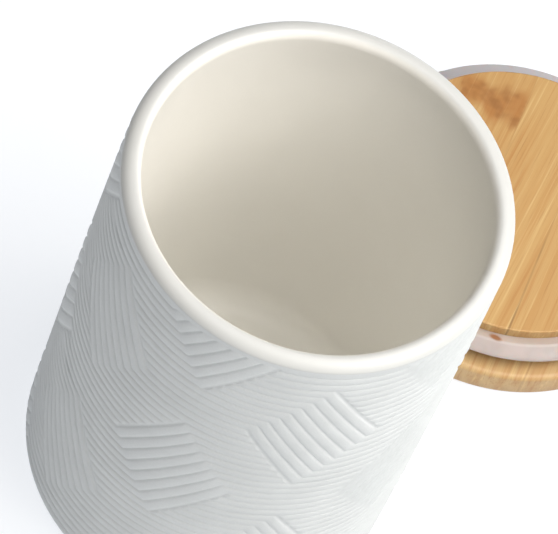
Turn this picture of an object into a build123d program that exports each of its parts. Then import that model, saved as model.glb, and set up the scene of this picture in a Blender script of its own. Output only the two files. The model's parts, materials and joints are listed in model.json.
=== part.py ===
"""Storage canister: a straight-walled ceramic pot with its plug-fit bamboo lid lifted off.

The pot stands on z = 0 with its axis on Z and the origin at the centre of its base.
The lid lies beside it, turned over on its outer face, so its plug points up.
All sizes are in millimetres.
"""

import math
import os

from build123d import *

os.makedirs("parts", exist_ok=True)

# pot
body_radius = 50.0
body_height = 141.0
wall = 5.5
floor_thickness = 6.0
floor_round = 8.0
base_round = 3.0
lip_outer_round = 3.6
lip_inner_round = 1.8

# lid: a cap board with a plug board glued to it
cap_thickness = 9.0
cap_round = 1.6
plug_depth = 11.0
plug_clearance = 3.25
plug_edge_round = 0.4
seal_groove_depth = 2.0
seal_groove_height = 5.2
plug_lip_height = 3.4

# both boards are edge-glued from strips that run along Y, in a blank wider than the disc cut from it
cap_strips = 6
plug_strips = 5
blank_margin = 8.2
blank_shift = 1.15

# silicone ring, in its relaxed shape
seal_collar = 2.35
seal_skirt_reach = 2.5
seal_skirt_drop = 2.3
seal_skirt_thickness = 0.9

# where the lid lies
lid_gap = 12.7
lid_bearing = 63.07

mouth_radius = body_radius - wall
plug_radius = mouth_radius - plug_clearance
groove_radius = plug_radius - seal_groove_depth
groove_top = cap_thickness + plug_depth - plug_lip_height
groove_bottom = groove_top - seal_groove_height
cap_radius = body_radius
strip_width = 2 * (cap_radius + blank_margin) / cap_strips
lid_distance = body_radius + lid_gap + cap_radius
lid_x = lid_distance * math.cos(math.radians(lid_bearing))
lid_y = lid_distance * math.sin(math.radians(lid_bearing))
lid_axis = Axis((lid_x, lid_y, 0), (0, 0, 1))
lid_section = Plane(origin=(lid_x, lid_y, 0), x_dir=(1, 0, 0), z_dir=(0, -1, 0))


def finish(piece, name):
    """Label a finished piece and write it to its own file."""
    piece.part.label = name
    export_step(piece.part, f"parts/{name}.step")


def corner(sketch, right, high):
    """The sketch's corner nearest to a point, right along the radius and high up the axis."""
    return sketch.vertices().sort_by_distance((right, high, 0))[0]


def seams(count):
    """Places of the glue lines in a blank of so many strips, measured across from the lid's axis."""
    return [blank_shift + (number - count / 2) * strip_width for number in range(1, count)]


def cap_profile():
    """Half section of the cap: a flat disc with both edges rounded."""
    with BuildSketch(lid_section) as section:
        with Locations((cap_radius / 2, cap_thickness / 2)):
            Rectangle(cap_radius, cap_thickness)
        fillet([corner(section, cap_radius, 0), corner(section, cap_radius, cap_thickness)], cap_round)
    return section.sketch


def plug_profile():
    """Half section of the plug: a thick disc with the seal's groove cut round it."""
    with BuildSketch(lid_section) as section:
        with Locations((plug_radius / 2, cap_thickness + plug_depth / 2)):
            Rectangle(plug_radius, plug_depth)
        fillet(corner(section, plug_radius, cap_thickness + plug_depth), plug_edge_round)
        with Locations((plug_radius, groove_bottom + seal_groove_height / 2)):
            Rectangle(2 * seal_groove_depth, seal_groove_height, mode=Mode.SUBTRACT)
    return section.sketch


def glued_strips(name, count, profile, radius):
    """Turn a board's section about the lid's axis and part it along its glue lines."""
    edges = [-radius, *seams(count), radius]
    for number, (left, right) in enumerate(zip(edges, edges[1:]), start=1):
        with BuildPart() as strip:
            add(profile)
            revolve(axis=lid_axis)
            with BuildSketch(Plane((lid_x + (left + right) / 2, lid_y, 0))):
                Rectangle(right - left, 2 * radius)
            extrude(amount=cap_thickness + plug_depth, mode=Mode.INTERSECT)
        finish(strip, f"{name}_{number}")


with BuildPart() as canister_body:
    with BuildSketch(Plane.XZ) as wall_section:
        with BuildLine():
            Polyline(
                (0, 0),
                (body_radius, 0),
                (body_radius, body_height),
                (mouth_radius, body_height),
                (mouth_radius, floor_thickness),
                (0, floor_thickness),
                close=True,
            )
        make_face()
        fillet(corner(wall_section, body_radius, 0), base_round)
        fillet(corner(wall_section, mouth_radius, floor_thickness), floor_round)
        fillet(corner(wall_section, body_radius, body_height), lip_outer_round)
        fillet(corner(wall_section, mouth_radius, body_height), lip_inner_round)
    revolve(axis=Axis.Z)
finish(canister_body, "canister_body")

glued_strips("cap_strip", cap_strips, cap_profile(), cap_radius)
glued_strips("plug_strip", plug_strips, plug_profile(), plug_radius)

# The ring fills the groove, stands out past the plug as a collar and ends in one sloping skirt.
collar_radius = plug_radius + seal_collar
skirt_radius = mouth_radius + seal_skirt_reach
skirt_height = groove_top - seal_skirt_drop
with BuildPart() as silicone_seal:
    with BuildSketch(lid_section) as seal_section:
        with BuildLine():
            Polyline(
                (groove_radius, groove_bottom),
                (collar_radius - seal_skirt_thickness, groove_bottom),
                (collar_radius - seal_skirt_thickness, groove_top - 2 * seal_skirt_thickness),
                (skirt_radius, skirt_height - seal_skirt_thickness),
                (skirt_radius, skirt_height),
                (collar_radius, groove_top),
                (groove_radius, groove_top),
                close=True,
            )
        make_face()
        skirt_tip = [
            corner(seal_section, skirt_radius, skirt_height - seal_skirt_thickness),
            corner(seal_section, skirt_radius, skirt_height),
        ]
        fillet(skirt_tip, seal_skirt_thickness / 3)
        fillet(corner(seal_section, collar_radius, groove_top), seal_skirt_thickness)
    revolve(axis=lid_axis)
finish(silicone_seal, "silicone_seal")
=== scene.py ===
"""Storage canister: the finish of its combed stoneware pot, its bamboo lid and the lid's silicone ring.

Everything is in metres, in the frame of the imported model: the pot stands on z = 0 round the Z axis, and the
lid lies beside it on its outer face, with its plug pointing up.
"""

import json
import math

import bmesh
import bpy
from mathutils import Matrix, Vector


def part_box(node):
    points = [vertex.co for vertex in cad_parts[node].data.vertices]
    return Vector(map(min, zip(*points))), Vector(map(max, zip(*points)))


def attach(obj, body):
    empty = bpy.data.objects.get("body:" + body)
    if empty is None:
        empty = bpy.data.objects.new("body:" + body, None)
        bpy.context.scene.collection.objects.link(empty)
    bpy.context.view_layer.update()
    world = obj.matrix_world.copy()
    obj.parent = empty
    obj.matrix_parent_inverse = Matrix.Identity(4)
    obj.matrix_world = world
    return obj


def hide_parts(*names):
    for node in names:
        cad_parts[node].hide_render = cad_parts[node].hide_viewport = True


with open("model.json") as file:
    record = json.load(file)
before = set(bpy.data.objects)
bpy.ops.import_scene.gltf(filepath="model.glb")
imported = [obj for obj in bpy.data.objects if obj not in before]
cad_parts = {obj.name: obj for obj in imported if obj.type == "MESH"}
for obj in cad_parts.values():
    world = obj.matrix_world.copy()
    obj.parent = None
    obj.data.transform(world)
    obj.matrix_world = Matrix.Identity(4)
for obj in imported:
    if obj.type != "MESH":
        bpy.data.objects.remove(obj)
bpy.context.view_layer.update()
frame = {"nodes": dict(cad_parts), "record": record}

MM = 0.001

# pot, measured on the frame, with the floor and the rounds of its solid
pot_low, pot_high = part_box("canister_body")
mouth = next(mount for mount in frame["record"]["mounts"] if mount["name"] == "mouth")
pot_radius = (pot_high.x - pot_low.x) / 2
pot_height = pot_high.z
mouth_radius = mouth["dims"]["r_mm"] * MM
floor_top = 6.0 * MM
floor_round = 8.0 * MM
base_round = 3.0 * MM

# the wall narrows a little towards the lip and the foot; the lip is a low dome that turns softly down inside
belly_low = 50.0 * MM
belly_high = 90.0 * MM
foot_narrowing = 0.3 * MM
lip_narrowing = 0.45 * MM
lip_crest = 1.9 * MM
lip_overhang = 0.2 * MM
lip_inner_fall = 2.7 * MM
lip_corner_round = 1.1 * MM
lip_corner_drop = 2.1 * MM

# combing: level rings, broken by diamonds combed on the slant; every groove is cut to the same bottom, and
# nothing is cut within the plain edge at the wall's two ends
ring_pitch = 3.12 * MM
datum_height = 70.5 * MM
wall_low = base_round
wall_high = pot_height - 3.4 * MM
comb_margin = 0.2 * MM
comb_fade = 0.4 * MM
plain_edge = comb_margin * 0.99
groove_share = 0.2
groove_steps = 3
groove_depth = 0.26 * MM
rib_crown = 0.06 * MM

# diamonds: ten columns of them, leaning right and left by turns, their ribs prouder than the rings' ribs;
# beside their first and last grooves the rings' ribs end steeply, at these shares of a pitch from the groove
columns = 10
first_column = math.radians(-98.2)
column_width = 2 * math.pi * pot_radius / columns
diamond_half_width = 16.8 * MM
diamond_combs = 8
diamond_repeat = 22
diamond_rise = 0.12 * MM
rise_run = 2.5 * MM
rib_end = (0.16, 0.21, 0.26)

# faces across each column before the combing is cut, and how near two of the wall's points are made one
strips_per_column = 12
merge_gap = 0.002 * MM

# lid, measured on the frame
lid_nodes = frame["record"]["behaviour"]["bodies"]["lid"]
cap_nodes = [name for name in lid_nodes if name.startswith("cap_strip")]
plug_nodes = [name for name in lid_nodes if name.startswith("plug_strip")]
cap_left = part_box("cap_strip_1")[0].x
cap_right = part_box("cap_strip_6")[1].x
lid_x = (cap_left + cap_right) / 2
lid_y = (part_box("cap_strip_3")[0].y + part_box("cap_strip_3")[1].y) / 2
cap_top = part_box("cap_strip_3")[1].z
plug_radius = (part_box("plug_strip_5")[1].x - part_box("plug_strip_1")[0].x) / 2
strip_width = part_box("cap_strip_3")[1].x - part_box("cap_strip_3")[0].x
first_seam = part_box("cap_strip_2")[0].x

# knuckles of the cane: the middle of each one's stain, how far it reaches across and along, and its strength
plug_knuckle = ((first_seam + strip_width, lid_y + 27.5 * MM), (9.7 * MM, 7 * MM), 0.65)
cap_knuckle = ((first_seam + 2.5 * strip_width, lid_y - 12 * MM), (9 * MM, 6 * MM), 0.7)

# silicone ring: its reach is measured on the frame, and the rest is as in its solid, but for the fine ridges
seal_low, seal_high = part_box("silicone_seal")
groove_radius = plug_radius - 2.0 * MM
collar_radius = plug_radius + 2.35 * MM
skirt_radius = (seal_high.x - seal_low.x) / 2
skirt_drop = 2.3 * MM
skirt_thickness = 0.9 * MM
ridge_height = 0.15 * MM
stain_middle = (lid_x + 8.6 * MM, lid_y - 41.8 * MM, seal_high.z)
stain_stretch = (1.9, 0.85, 2.0)

lamp_aim = (0, 0, 0.07)


def linear(hex_colour):
    """Linear RGBA of an sRGB colour written as six hex digits."""
    shares = [int(hex_colour[place:place + 2], 16) / 255 for place in (0, 2, 4)]
    shares = [share / 12.92 if share <= 0.04045 else ((share + 0.055) / 1.055) ** 2.4 for share in shares]
    return shares + [1.0]


def add_node(tree, kind, inputs=None, **settings):
    """Add a node with its settings; each input takes a value, or is linked where it is given a socket."""
    node = tree.nodes.new(kind)
    for name, value in settings.items():
        setattr(node, name, value)
    for name, value in (inputs or {}).items():
        if isinstance(value, bpy.types.NodeSocket):
            tree.links.new(value, node.inputs[name])
        else:
            node.inputs[name].default_value = value
    return node


def new_material(name, shader_inputs):
    """A material with one Principled shader, and the Object coordinates that its patterns read."""
    material = bpy.data.materials.new(name)
    material.use_nodes = True
    tree = material.node_tree
    tree.nodes.clear()
    shader = add_node(tree, "ShaderNodeBsdfPrincipled", shader_inputs)
    add_node(tree, "ShaderNodeOutputMaterial", {"Surface": shader.outputs["BSDF"]})
    place = add_node(tree, "ShaderNodeTexCoord").outputs["Object"]
    return material, tree, shader, place


def noise(tree, place, grain, stretch=(1, 1, 1), detail=2.0, roughness=0.5):
    """Noise whose features are about so many metres across, drawn out along the axes by the stretch."""
    scale = [1 / (grain * factor) for factor in stretch]
    mapped = add_node(tree, "ShaderNodeMapping", {"Vector": place, "Scale": scale}).outputs["Vector"]
    inputs = {"Vector": mapped, "Scale": 1.0, "Detail": detail, "Roughness": roughness}
    return add_node(tree, "ShaderNodeTexNoise", inputs).outputs["Fac"]


def between(tree, value, low, high, to_low=0.0, to_high=1.0, smooth=True):
    """Map a value from one range to another, held at its ends."""
    kind = "SMOOTHSTEP" if smooth else "LINEAR"
    inputs = {"Value": value, "From Min": low, "From Max": high, "To Min": to_low, "To Max": to_high}
    return add_node(tree, "ShaderNodeMapRange", inputs, interpolation_type=kind).outputs["Result"]


def mix_colours(tree, share, first, second):
    """Blend two colours; the share runs from the first to the second."""
    return add_node(tree, "ShaderNodeMix", {0: share, 6: first, 7: second}, data_type="RGBA").outputs[2]


def matte_glazed_stoneware():
    """Stoneware with a matte white glaze: no mirror, only a soft sheen and a dry, finely grained skin."""
    material, tree, shader, place = new_material("matte_glazed_stoneware", {"Roughness": 0.62, "IOR": 1.5})
    cloud = between(tree, noise(tree, place, 14 * MM), 0.35, 0.65)
    colour = mix_colours(tree, cloud, linear("d5d8d8"), linear("d9dcdc"))
    grain = noise(tree, place, 0.45 * MM, detail=3.0)
    colour = mix_colours(tree, between(tree, grain, 0.3, 0.7, 0.0, 0.25), colour, linear("cccfcf"))
    tree.links.new(colour, shader.inputs["Base Color"])
    tree.links.new(between(tree, grain, 0.2, 0.8, 0.56, 0.7), shader.inputs["Roughness"])
    bump = add_node(tree, "ShaderNodeBump", {"Strength": 0.25, "Distance": 0.04 * MM, "Height": grain})
    tree.links.new(bump.outputs["Normal"], shader.inputs["Normal"])
    return material


def satin_glazed_stoneware():
    """Satin white glaze: softly glossy; painted shade greys the lip, and the inside keeps a paler, warmer
    white.
    """
    material, tree, shader, place = new_material("satin_glazed_stoneware", {"IOR": 1.5})
    flat = add_node(tree, "ShaderNodeMapping", {"Vector": place, "Scale": (1, 1, 0)}).outputs["Vector"]
    radius = add_node(tree, "ShaderNodeVectorMath", {0: flat}, operation="LENGTH").outputs["Value"]
    # Painted shade: towards the lip the glaze is greyed against the strong light on the lip's top; deep
    # inside it stays pale and warm.
    clear_of_painted_lip_shade = between(tree, radius, mouth_radius + 1.4 * MM, mouth_radius + 0.1 * MM)
    colour = mix_colours(tree, clear_of_painted_lip_shade, linear("cecfcd"), linear("f4f2ec"))
    cloud = between(tree, noise(tree, place, 20 * MM), 0.35, 0.65, 0.0, 0.06)
    colour = mix_colours(tree, cloud, colour, linear("dfdcd3"))
    tree.links.new(colour, shader.inputs["Base Color"])
    speck = noise(tree, place, 0.5 * MM, detail=2.0)
    tree.links.new(between(tree, speck, 0.2, 0.8, 0.36, 0.44), shader.inputs["Roughness"])
    ripple = noise(tree, place, 7 * MM, detail=1.0)
    bump = add_node(tree, "ShaderNodeBump", {"Strength": 0.2, "Distance": 0.05 * MM, "Height": ripple})
    tree.links.new(bump.outputs["Normal"], shader.inputs["Normal"])
    return material


def arithmetic(tree, operation, first, second=0.0):
    """One sum on two numbers or sockets."""
    return add_node(tree, "ShaderNodeMath", {0: first, 1: second}, operation=operation).outputs["Value"]


def bamboo_strips(tree, place):
    """For a point: its strip's three random numbers, its distance from the glue line, and its board."""
    x, y, z = add_node(tree, "ShaderNodeSeparateXYZ", {"Vector": place}).outputs
    board = arithmetic(tree, "GREATER_THAN", z, cap_top + 0.1 * MM)
    shift = arithmetic(tree, "MULTIPLY", board, strip_width / 2)
    across = arithmetic(tree, "ADD", arithmetic(tree, "SUBTRACT", x, first_seam), shift)
    number = arithmetic(tree, "FLOOR", arithmetic(tree, "DIVIDE", across, strip_width))
    which = add_node(tree, "ShaderNodeCombineXYZ", {"X": number, "Y": board}).outputs["Vector"]
    chance = add_node(tree, "ShaderNodeTexWhiteNoise", {"Vector": which}).outputs["Color"]
    seam_gap = arithmetic(tree, "PINGPONG", across, strip_width / 2)
    return chance, seam_gap, board


def along_the_grain(tree, place, chance):
    """Coordinates of a strip's own cane: each leans a little its own way and starts at its own place."""
    x, y, z = add_node(tree, "ShaderNodeSeparateXYZ", {"Vector": place}).outputs
    lean, start, _ = add_node(tree, "ShaderNodeSeparateColor", {"Color": chance}).outputs
    slope = between(tree, lean, 0.0, 1.0, -0.02, 0.08, smooth=False)
    leant = arithmetic(tree, "SUBTRACT", x, arithmetic(tree, "MULTIPLY", y, slope))
    along = arithmetic(tree, "ADD", y, start)
    return add_node(tree, "ShaderNodeCombineXYZ", {"X": leant, "Y": along, "Z": z}).outputs["Vector"]


def knuckle(tree, place, on_board, middle, reach, wander):
    """Share of a knuckle's stain on one board, round its middle; the reach is half its width and height."""
    x, y, _ = add_node(tree, "ShaderNodeSeparateXYZ", {"Vector": place}).outputs
    off = arithmetic(tree, "ABSOLUTE", arithmetic(tree, "SUBTRACT", x, middle[0]))
    inside = between(tree, off, reach[0] - 0.5 * MM, reach[0] + 0.5 * MM, 1.0, 0.0)
    swing = between(tree, wander, 0.3, 0.7, -0.5 * reach[1], 0.5 * reach[1], smooth=False)
    swung = arithmetic(tree, "ADD", y, swing)
    away = arithmetic(tree, "ABSOLUTE", arithmetic(tree, "SUBTRACT", swung, middle[1]))
    band = between(tree, away, 0.25 * reach[1], reach[1], 1.0, 0.0)
    return arithmetic(tree, "MULTIPLY", arithmetic(tree, "MULTIPLY", inside, band), on_board)


def cane_colours(tree, grain, chance, board):
    """Oiled cane: a tone for each board and strip, with broad bands, thin streaks and fine fibres."""
    tone = add_node(tree, "ShaderNodeSeparateColor", {"Color": chance}).outputs["Blue"]
    broad = noise(tree, grain, 3.4 * MM, (1, 26, 8), detail=2.0)
    streak = noise(tree, grain, 1.1 * MM, (1, 60, 6), detail=3.0, roughness=0.6)
    fibre = noise(tree, grain, 0.42 * MM, (1, 40, 3), detail=2.0, roughness=0.6)
    plug_tone = mix_colours(tree, tone, linear("b48b56"), linear("be9861"))
    cap_tone = mix_colours(tree, tone, linear("bd9c6d"), linear("c5a575"))
    colour = mix_colours(tree, board, cap_tone, plug_tone)
    colour = mix_colours(tree, between(tree, broad, 0.42, 0.68, 0.0, 0.5), colour, linear("b1824a"))
    colour = mix_colours(tree, between(tree, streak, 0.52, 0.72, 0.0, 0.6), colour, linear("a9743d"))
    colour = mix_colours(tree, between(tree, streak, 0.47, 0.3, 0.0, 0.6), colour, linear("d3b47e"))
    return mix_colours(tree, between(tree, fibre, 0.55, 0.8, 0.0, 0.4), colour, linear("906133")), fibre


def oiled_bamboo():
    """Bamboo strips glued edge to edge, sanded and oiled: pale and rusty fibres along Y, brown knuckles."""
    material, tree, shader, place = new_material("oiled_bamboo", {"IOR": 1.48})
    chance, seam_gap, board = bamboo_strips(tree, place)
    grain = along_the_grain(tree, place, chance)
    colour, fibre = cane_colours(tree, grain, chance, board)
    wander = noise(tree, grain, 7 * MM, (1, 3, 1), detail=2.0)
    speck = noise(tree, grain, 3.6 * MM, (1, 0.9, 1), detail=1.5, roughness=0.5)
    cap = arithmetic(tree, "SUBTRACT", 1.0, board)
    for on_board, middle, reach, strength in (board, *plug_knuckle), (cap, *cap_knuckle):
        stain = knuckle(tree, place, on_board, middle, reach, wander)
        colour = mix_colours(tree, arithmetic(tree, "MULTIPLY", stain, strength), colour, linear("a0652d"))
        spots = arithmetic(tree, "MULTIPLY", stain, between(tree, speck, 0.36, 0.72, 0.0, 0.6))
        colour = mix_colours(tree, spots, colour, linear("875a2e"))
    x, y, z = add_node(tree, "ShaderNodeSeparateXYZ", {"Vector": place}).outputs
    # Painted shade and painted reflection: the cap's sides turn greyer towards the floor, below 5.5 mm.
    colour = mix_colours(tree, between(tree, z, 5.5 * MM, 1.5 * MM, 0.0, 0.35), colour, linear("a88a6c"))
    seen = between(tree, y, lid_y + 5 * MM, lid_y - 25 * MM, 0.1, 0.65)
    seen = arithmetic(tree, "MULTIPLY", seen, between(tree, board, 0.0, 1.0, 0.3, 1.0))
    patchy = between(tree, noise(tree, place, 9 * MM, (1, 2, 1)), 0.4, 0.6, 0.5, 1.0)
    glue = arithmetic(tree, "MULTIPLY", between(tree, seam_gap, 0.08 * MM, 0.45 * MM, 1.0, 0.0), patchy)
    colour = mix_colours(tree, arithmetic(tree, "MULTIPLY", glue, seen), colour, linear("7d5d36"))
    tree.links.new(colour, shader.inputs["Base Color"])
    tree.links.new(between(tree, fibre, 0.2, 0.8, 0.42, 0.58), shader.inputs["Roughness"])
    bump = add_node(tree, "ShaderNodeBump", {"Strength": 0.3, "Distance": 0.05 * MM, "Height": fibre})
    tree.links.new(bump.outputs["Normal"], shader.inputs["Normal"])
    return material


def milky_silicone():
    """Moulded silicone rubber, milky and soft-lit, with painted light: a shaded, warmer collar and a paler
    back.
    """
    settings = {"IOR": 1.41, "Roughness": 0.42, "Subsurface Weight": 0.3, "Subsurface Scale": 0.6 * MM}
    material, tree, shader, place = new_material("milky_silicone", settings)
    centre = {"Vector": place, "Location": (-lid_x, -lid_y, 0)}
    lid_place = add_node(tree, "ShaderNodeMapping", centre).outputs["Vector"]
    x, y, z = add_node(tree, "ShaderNodeSeparateXYZ", {"Vector": lid_place}).outputs
    flat = add_node(tree, "ShaderNodeCombineXYZ", {"X": x, "Y": y}).outputs["Vector"]
    radius = add_node(tree, "ShaderNodeVectorMath", {0: flat}, operation="LENGTH").outputs["Value"]
    cloud = between(tree, noise(tree, place, 6 * MM), 0.35, 0.65)
    skirt = mix_colours(tree, cloud, linear("ab9f9a"), linear("b2a6a2"))
    # Painted shade and painted bamboo tone: the collar is darker and warmer, for the shade under the plug's
    # lip and the bamboo seen through the rubber.
    collar = mix_colours(tree, cloud, linear("a89990"), linear("afa197"))
    beyond_painted_collar = between(tree, radius, collar_radius - 0.5 * MM, collar_radius + 0.4 * MM)
    colour = mix_colours(tree, beyond_painted_collar, collar, skirt)
    off_crest = arithmetic(tree, "ABSOLUTE", arithmetic(tree, "SUBTRACT", radius, collar_radius))
    glint = between(tree, off_crest, 0.1 * MM, 0.45 * MM, 0.2, 0.0)
    colour = mix_colours(tree, glint, colour, linear("d8d2cf"))
    # Painted light: the back of the ring is made paler and greyer, for light that comes through the rubber
    # from behind.
    painted_back_light = between(tree, y, 5 * MM, 38 * MM, 0.0, 0.8)
    colour = mix_colours(tree, painted_back_light, colour, linear("c2bfc3"))
    stain_place = {"Vector": place, "Location": [-share for share in stain_middle]}
    local = add_node(tree, "ShaderNodeMapping", stain_place).outputs["Vector"]
    scale = [1 / share for share in stain_stretch]
    shape = add_node(tree, "ShaderNodeMapping", {"Vector": local, "Scale": scale})
    off = add_node(tree, "ShaderNodeVectorMath", {0: shape.outputs["Vector"]}, operation="LENGTH")
    stain = between(tree, off.outputs["Value"], 0.5 * MM, 1.25 * MM, 0.9, 0.0)
    colour = mix_colours(tree, stain, colour, linear("8a5626"))
    tree.links.new(colour, shader.inputs["Base Color"])
    return material


def comb_section(phase):
    """Share of the full depth, and drop of the rib's crown, at a place counted in pitches from a groove."""
    off = abs(phase - round(phase))
    if off < groove_share:
        return 0.5 + 0.5 * math.cos(math.pi * off / groove_share), rib_crown
    return 0.0, rib_crown * ((0.5 - off) / (0.5 - groove_share)) ** 2


def ramp(value, start, end):
    """Smooth step from 0 at the start to 1 at the end."""
    share = min(max((value - start) / (end - start), 0.0), 1.0)
    return share * share * (3 - 2 * share)


class Diamond:
    """One diamond on the unrolled wall, with its middle at (across, up); a falling one leans to the left.

    Its own measures run from 0 to 1: along each comb stroke, and from the first stroke to the last.
    """

    half_height = diamond_combs * ring_pitch
    side = math.hypot(diamond_half_width, half_height)
    width = 2 * diamond_half_width * half_height / side

    def __init__(self, across, up, falling):
        self.across = across
        self.up = up
        self.lean = -1 if falling else 1

    def measures(self, x, y):
        """How far along the strokes, and how far across them, a point lies."""
        right = (x - self.across) / diamond_half_width + 1
        high = (y - self.up) * self.lean / self.half_height
        return (right + high) / 2, (right - high) / 2

    def point(self, along, over):
        """The point at these measures, on the unrolled wall."""
        x = self.across + diamond_half_width * (along + over - 1)
        y = self.up + self.lean * self.half_height * (along - over)
        return Vector((x, y, 0))

    def holds(self, x, y):
        """Whether a point is combed by this diamond."""
        return all(-1e-6 <= share <= 1 + 1e-6 for share in self.measures(x, y))

    def outer_groove(self, x, y):
        """Share of full depth, beside the diamond, that its first and last grooves reach."""
        along, over = self.measures(x, y)
        past = max(-along, along - 1, 0.0) * self.side / self.width
        off = diamond_combs * (max(-over, over - 1) + past)
        return 1 - ramp(off, rib_end[0], rib_end[-1]) if off >= 0 else 0.0

    def stroke_cut(self, over):
        """Point and direction of a cut along the strokes."""
        return self.point(0, over), self.point(1, over) - self.point(0, over)

    def cross_cut(self, along):
        """Point and direction of a cut across the strokes, in line with the diamond's mitred sides."""
        return self.point(along, 0), self.point(along, 1) - self.point(along, 0)


def diamonds():
    """Every diamond that touches one cell of the pattern: two columns, from the foot to the lip."""
    found = []
    for column in range(-1, 3):
        falling = column % 2 == 1
        lift = diamond_repeat / 2 * ring_pitch if falling else 0
        for row in range(-2, 3):
            up = datum_height - lift + row * diamond_repeat * ring_pitch
            if wall_low < up + Diamond.half_height and up - Diamond.half_height < wall_high:
                found.append(Diamond(column * column_width, up, falling))
    return found


def comb_depth(x, y, pattern):
    """Depth of the combing at a point of the unrolled wall, below the diamonds' ribs."""
    level = diamond_rise
    share, crown = comb_section((y - datum_height) / ring_pitch)
    inside = [diamond for diamond in pattern if diamond.holds(x, y)]
    if inside:
        along, over = inside[0].measures(x, y)
        share, crown = comb_section(over * diamond_combs)
        level -= diamond_rise * ramp(min(along, 1 - along) * Diamond.side, 0, rise_run)
    else:
        share = max([share] + [diamond.outer_groove(x, y) for diamond in pattern])
    depth = level + (diamond_rise + groove_depth - level) * share + crown * (1 - share)
    combed = ramp(min(y - wall_low, wall_high - y) - comb_margin, 0, comb_fade)
    return diamond_rise + (depth - diamond_rise) * combed


def cut(sheet, faces, point, direction):
    """Cut these faces of the flat sheet along a straight line, and return the faces they become."""
    around = {edge for face in faces for edge in face.edges}
    corners = {vert for face in faces for vert in face.verts}
    across = Vector((direction.y, -direction.x, 0)).normalized()
    parts = [*faces, *around, *corners]
    made = bmesh.ops.bisect_plane(sheet, geom=parts, dist=1e-6, plane_co=point, plane_no=across)
    return [part for part in made["geom"] if isinstance(part, bmesh.types.BMFace)]


def comb_lines(first, last):
    """Places, in pitches, of the lines that shape each groove and rib from one number to another."""
    shares = [step / groove_steps * groove_share for step in range(-groove_steps, groove_steps + 1)]
    return [number + share for number in range(first, last) for share in shares]


def cut_diamond(sheet, diamond):
    """Cut the sheet along a diamond's outline, its comb strokes, and the ends of the rings beside it."""
    reach_x = diamond_half_width + 1 * MM
    reach_y = Diamond.half_height + ring_pitch
    block = []
    for face in sheet.faces:
        middle = face.calc_center_median()
        combed = wall_low + plain_edge < middle.y < wall_high - plain_edge
        if combed and abs(middle.x - diamond.across) < reach_x and abs(middle.y - diamond.up) < reach_y:
            block.append(face)
    for line in (diamond.cross_cut(0), diamond.cross_cut(1), diamond.stroke_cut(0), diamond.stroke_cut(1)):
        block = cut(sheet, block, *line)
    inside = [face for face in block if diamond.holds(*face.calc_center_median().xy)]
    beside = [face for face in block if 0 < diamond.measures(*face.calc_center_median().xy)[0] < 1]
    beside = [face for face in beside if face not in set(inside)]
    for off in rib_end:
        beside = cut(sheet, beside, *diamond.stroke_cut(-off / diamond_combs))
        beside = cut(sheet, beside, *diamond.stroke_cut(1 + off / diamond_combs))
    for share in (rise_run / 2 / diamond.side, rise_run / diamond.side):
        inside = cut(sheet, inside, *diamond.cross_cut(share))
        inside = cut(sheet, inside, *diamond.cross_cut(1 - share))
    for place in comb_lines(0, diamond_combs + 1) + [number + 0.5 for number in range(diamond_combs)]:
        if 0 < place < diamond_combs:
            inside = cut(sheet, inside, *diamond.stroke_cut(place / diamond_combs))


def combed_cell(sheet):
    """Lay one cell of the pattern flat: X runs round the wall and Y up it."""
    pattern = diamonds()
    place = Matrix.Translation((column_width / 2, (wall_low + wall_high) / 2, 0))
    size = Matrix.Diagonal((column_width, (wall_high - wall_low) / 2, 1, 1))
    bmesh.ops.create_grid(sheet, x_segments=2 * strips_per_column, y_segments=1, size=1, matrix=place @ size)
    level = Vector((1, 0, 0))
    first = math.floor((wall_low - datum_height) / ring_pitch)
    last = math.ceil((wall_high - datum_height) / ring_pitch)
    for number in range(first, last):
        cut(sheet, sheet.faces[:], Vector((0, datum_height + (number + 0.5) * ring_pitch, 0)), level)
    for gap in (comb_margin, comb_margin + comb_fade / 2, comb_margin + comb_fade):
        cut(sheet, sheet.faces[:], Vector((0, wall_low + gap, 0)), level)
        cut(sheet, sheet.faces[:], Vector((0, wall_high - gap, 0)), level)
    for diamond in pattern:
        cut_diamond(sheet, diamond)
    rows = {}
    for face in sheet.faces:
        middle = face.calc_center_median()
        combed = wall_low + plain_edge < middle.y < wall_high - plain_edge
        if combed and not any(diamond.holds(*middle.xy) for diamond in pattern):
            rows.setdefault(round((middle.y - datum_height) / ring_pitch), []).append(face)
    for number, row in sorted(rows.items()):
        for phase in comb_lines(number, number + 1):
            row = cut(sheet, row, Vector((0, datum_height + phase * ring_pitch, 0)), level)
    return pattern


def wall_radius(height):
    """Radius of the wall at a height: widest over the belly, and narrower towards the lip and the foot."""
    above = max(height - belly_high, 0) / (wall_high - belly_high)
    below = max(belly_low - height, 0) / (belly_low - wall_low)
    return pot_radius - lip_narrowing * above ** 2 - foot_narrowing * below ** 2


def wrap_cell(sheet, pattern):
    """Press the combing into the flat cell and roll it up to its part of the wall."""
    for vert in sheet.verts:
        x, y, _ = vert.co
        angle = first_column + x / pot_radius
        radius = wall_radius(y) - comb_depth(x, y, pattern)
        vert.co = (radius * math.cos(angle), radius * math.sin(angle), y)


def arc(middle, radius, start, end, steps):
    """Points of a rounded corner on the pot's half section, as (distance from the axis, height)."""
    turns = [math.radians(start + (end - start) * step / steps) for step in range(steps + 1)]
    return [(middle[0] + radius * math.cos(turn), middle[1] + radius * math.sin(turn)) for turn in turns]


def draw_on(sheet, rim, section):
    """Carry a round edge of the wall along the points of a half section, then close it on the axis."""
    for radius, height in section:
        made = bmesh.ops.extrude_edge_only(sheet, edges=rim)["geom"]
        rim = [part for part in made if isinstance(part, bmesh.types.BMEdge)]
        for vert in {vert for edge in rim for vert in edge.verts}:
            spread = radius / math.hypot(vert.co.x, vert.co.y)
            vert.co = (vert.co.x * spread, vert.co.y * spread, height)
    ends = {vert for edge in rim for vert in edge.verts}
    bmesh.ops.pointmerge(sheet, verts=list(ends), merge_co=(0, 0, section[-1][1]))


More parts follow.
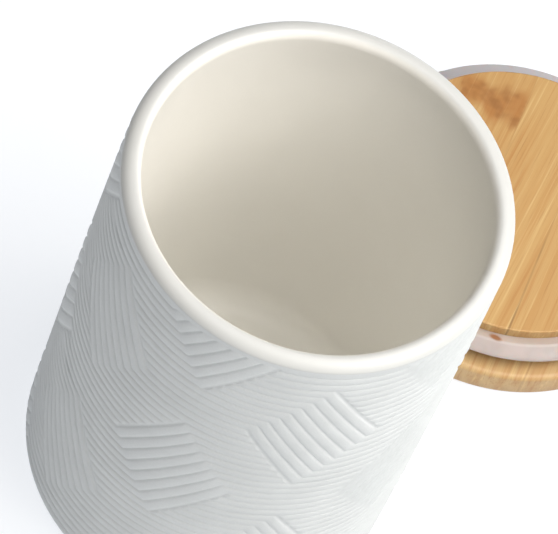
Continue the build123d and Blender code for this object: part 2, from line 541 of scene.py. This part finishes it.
def lip_and_inside():
    """Half section from the top of the combing over the lip, down the inner wall and across the floor."""
    crest = mouth_radius - lip_overhang + lip_crest
    corner = (wall_radius(wall_high) - diamond_rise - lip_corner_round, pot_height - lip_corner_drop)
    right, gap = corner[0] - crest, lip_corner_drop - lip_corner_round
    dome_round = lip_corner_round + (right ** 2 + gap ** 2) / (2 * gap)
    dome = (crest, pot_height - dome_round)
    bearing = math.degrees(math.atan2(corner[1] - dome[1], right))
    points = arc(corner, lip_corner_round, -15, bearing, 4) + arc(dome, dome_round, bearing + 9, 90, 7)
    for right, high in arc((0, 0), 1, 90, 180, 10)[1:]:
        points.append((crest + right * lip_crest, pot_height - (1 - high) * lip_inner_fall))
    points += [(mouth_radius, pot_height * share) for share in (0.92, 0.7, 0.45, 0.22)]
    points += arc((mouth_radius - floor_round, floor_top + floor_round), floor_round, 0, -90, 8)
    return points + [(mouth_radius * share, floor_top) for share in (0.6, 0.35, 0.12)]


def foot_and_base():
    """Half section from the bottom of the combing round the foot and under the base."""
    foot = wall_radius(wall_low) - diamond_rise - base_round
    points = arc((foot, base_round), base_round, -18, -90, 4)
    return points + [(pot_radius * share, 0.0) for share in (0.7, 0.4, 0.12)]


def make_piece(name, sheet, body, node, materials):
    """Turn a finished sheet into the object that stands for a node of the frame."""
    mesh = bpy.data.meshes.new(name)
    sheet.to_mesh(mesh)
    sheet.free()
    mesh.shade_smooth()
    for material in materials:
        mesh.materials.append(material)
    piece = bpy.data.objects.new(name, mesh)
    bpy.context.scene.collection.objects.link(piece)
    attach(piece, body)
    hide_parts(node)
    return piece


def pot():
    """The pot: five cells of combing round the wall, drawn on over the lip and inside, and at the base."""
    sheet = bmesh.new()
    wrap_cell(sheet, combed_cell(sheet))
    cell = sheet.verts[:] + sheet.edges[:] + sheet.faces[:]
    for number in range(1, columns // 2):
        copy = bmesh.ops.duplicate(sheet, geom=cell)["geom"]
        corners = [part for part in copy if isinstance(part, bmesh.types.BMVert)]
        turn = Matrix.Rotation(number * 4 * math.pi / columns, 3, "Z")
        bmesh.ops.rotate(sheet, verts=corners, cent=(0, 0, 0), matrix=turn)
    bmesh.ops.remove_doubles(sheet, verts=sheet.verts, dist=merge_gap)
    rims = [edge for edge in sheet.edges if edge.is_boundary]
    upper = [edge for edge in rims if edge.verts[0].co.z > pot_height / 2]
    lower = [edge for edge in rims if edge.verts[0].co.z < pot_height / 2]
    draw_on(sheet, upper, lip_and_inside())
    draw_on(sheet, lower, foot_and_base())
    bmesh.ops.recalc_face_normals(sheet, faces=sheet.faces)
    for face in sheet.faces:
        middle = face.calc_center_median()
        inside = math.hypot(middle.x, middle.y) < pot_radius - 1.5 * MM and middle.z > floor_top - 1 * MM
        face.material_index = 1 if middle.z > pot_height - lip_corner_drop or inside else 0
    materials = [matte_glazed_stoneware(), satin_glazed_stoneware()]
    return make_piece("combed_pot", sheet, "canister", "canister_body", materials)


def seal_section():
    """Closed half section of the ring: its collar fills the plug's groove, and its skirt slopes down."""
    top, bottom = seal_high.z, seal_low.z
    tip = top - skirt_drop
    points = [(groove_radius, bottom), (collar_radius - skirt_thickness, bottom)]
    points += [(collar_radius - skirt_thickness, top - 2 * skirt_thickness)]
    tip_round = skirt_thickness / 2
    points += arc((skirt_radius - tip_round, tip - tip_round), tip_round, -90, 60, 6)
    for share in (0.85, 0.7, 0.55, 0.4, 0.25):
        lift = ridge_height if round(share * 20) % 2 else 0
        right = collar_radius + (skirt_radius - collar_radius) * share
        points.append((right, tip + (top - tip) * (1 - share) + lift - ridge_height))
    points += arc((collar_radius - 0.5 * MM, top - 0.5 * MM), 0.5 * MM, 45, 90, 3)
    return points + [(plug_radius + 0.2 * MM, top), (groove_radius, top)]


def silicone_ring():
    """Spin the ring's section round the lid's axis."""
    sheet = bmesh.new()
    corners = [sheet.verts.new((lid_x + right, lid_y, high)) for right, high in seal_section()]
    edges = [sheet.edges.new(pair) for pair in zip(corners, corners[1:] + corners[:1])]
    turn = {"cent": (lid_x, lid_y, 0), "axis": (0, 0, 1), "angle": 2 * math.pi, "steps": 160}
    bmesh.ops.spin(sheet, geom=corners + edges, use_merge=True, **turn)
    bmesh.ops.remove_doubles(sheet, verts=sheet.verts, dist=1e-6)
    bmesh.ops.recalc_face_normals(sheet, faces=sheet.faces)
    return make_piece("silicone_ring", sheet, "lid", "silicone_seal", [milky_silicone()])


def finish_bamboo():
    """Give the frame's bamboo strips their material."""
    material = oiled_bamboo()
    for name in cap_nodes + plug_nodes:
        for place in frame["nodes"][name].material_slots:
            place.material = material


def camera():
    """The camera, from the picture's own perspective: a long lens, far off, tilted and rolled."""
    picture_lens = 314.86
    elevation = math.radians(57.656)
    roll = math.radians(24.179)
    pan = 0.00147
    tilt = -0.0178
    distance = 1190.98 * MM
    data = bpy.data.cameras.new("camera")
    data.lens = picture_lens
    data.sensor_width = 36
    data.clip_start = 0.05
    data.clip_end = 20
    view = bpy.data.objects.new("camera", data)
    bpy.context.scene.collection.objects.link(view)
    aim = Vector((0, 0, pot_height))
    back = Vector((0, -math.cos(elevation), math.sin(elevation)))
    turn = Matrix.Rotation(math.pi / 2 - elevation, 4, "X") @ Matrix.Rotation(pan, 4, "Y")
    turn = turn @ Matrix.Rotation(tilt, 4, "X") @ Matrix.Rotation(roll, 4, "Z")
    view.matrix_world = Matrix.Translation(aim + back * distance) @ turn
    bpy.context.scene.camera = view


def area_light(name, place, aim, size, power, colour):
    """A square soft box that faces a point."""
    data = bpy.data.lights.new(name, "AREA")
    data.size = size
    data.energy = power
    data.color = linear(colour)[:3]
    lamp = bpy.data.objects.new(name, data)
    lamp.location = place
    lamp.rotation_euler = (Vector(aim) - Vector(place)).to_track_quat("-Z", "Y").to_euler()
    bpy.context.scene.collection.objects.link(lamp)


def pale_floor():
    """A wide pale floor with a soft glow of its own, like a light table, so it stays near white."""
    settings = {"Base Color": linear("959696"), "Roughness": 0.9, "Specular IOR Level": 0.1}
    settings.update({"Emission Color": linear("f7faff"), "Emission Strength": 0.77})
    sheet = bmesh.new()
    bmesh.ops.create_grid(sheet, x_segments=1, y_segments=1, size=3.0)
    mesh = bpy.data.meshes.new("floor")
    sheet.to_mesh(mesh)
    sheet.free()
    mesh.materials.append(new_material("pale_floor", settings)[0])
    floor = bpy.data.objects.new("floor", mesh)
    bpy.context.scene.collection.objects.link(floor)


def studio():
    """Soft boxes above, in front and on the right, the strongest one high on the right."""
    pale_floor()
    area_light("overhead", (0, 0, 1.6), lamp_aim, 1.2, 7.2, "fffdfa")
    area_light("high_right", (0.8, 0, 1.4), lamp_aim, 1.0, 21.0, "fffcf8")
    area_light("front", (0.3, -1.4, 0.9), lamp_aim, 0.9, 3.0, "fffcf8")
    area_light("front_right", (0.9, -0.6, 1.2), lamp_aim, 0.9, 7.0, "fffcf8")
    area_light("back_right", (0.9, 0.7, 1.2), lamp_aim, 0.9, 7.3, "fffcf8")
    world = bpy.data.worlds.new("studio")
    world.use_nodes = True
    world.node_tree.nodes["Background"].inputs["Color"].default_value = linear("eef2f8")
    world.node_tree.nodes["Background"].inputs["Strength"].default_value = 0.01
    bpy.context.scene.world = world
    bpy.context.scene.view_settings.view_transform = "Standard"


camera()
studio()
pot()
silicone_ring()
finish_bamboo()
